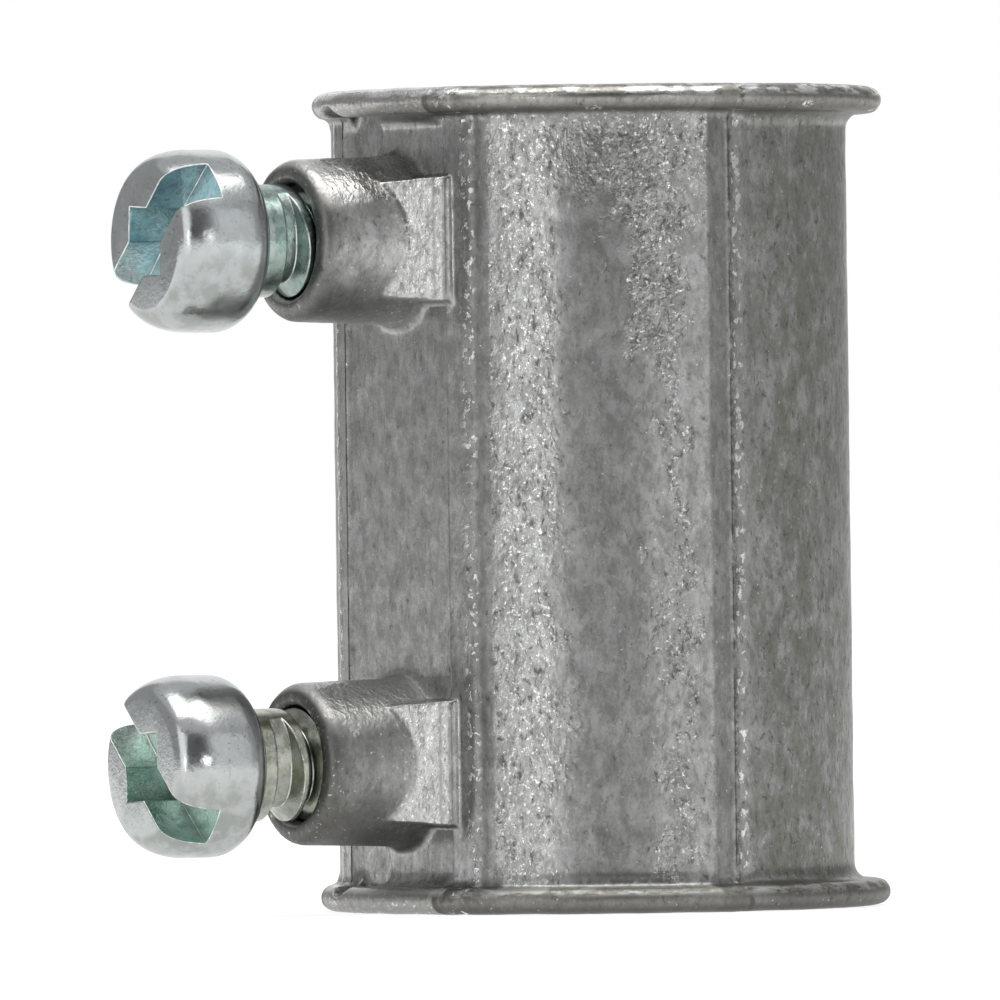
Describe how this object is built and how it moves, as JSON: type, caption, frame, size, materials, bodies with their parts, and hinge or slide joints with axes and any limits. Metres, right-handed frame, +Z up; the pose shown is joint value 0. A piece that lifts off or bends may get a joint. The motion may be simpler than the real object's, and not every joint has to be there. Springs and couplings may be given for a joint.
{
  "type": "set-screw conduit coupling",
  "caption": "Cast zinc coupling that joins two lengths of thin-wall steel conduit end to end, with set screws in side bosses.",
  "frame": {"origin": "centre of the lower end face, on the axis of the bore", "axes": "+Z up the bore from the lower socket to the upper one, -Y the way the set screws point"},
  "size_m": [0.0244, 0.0347, 0.035],
  "materials": {
    "cast_zinc": "bare die-cast zinc alloy, mottled grey with fine bright grain, dulled by handling",
    "plated_steel": "bright zinc plate with a faint blue-green tint"
  },
  "bodies": {
    "casting": {"coupling_body": "cast_zinc"},
    "upper_screw": {"upper_set_screw": "plated_steel"},
    "lower_screw": {"lower_set_screw": "plated_steel"}
  },
  "joints": [
    {"name": "upper_screw_travel", "type": "slide", "parent": "casting", "child": "upper_screw", "axis": [0, 1, 0], "range_m": [-0.0045, 0.00225]},
    {"name": "lower_screw_travel", "type": "slide", "parent": "casting", "child": "lower_screw", "axis": [0, 1, 0], "range_m": [-0.004, 0.0027]}
  ]
}
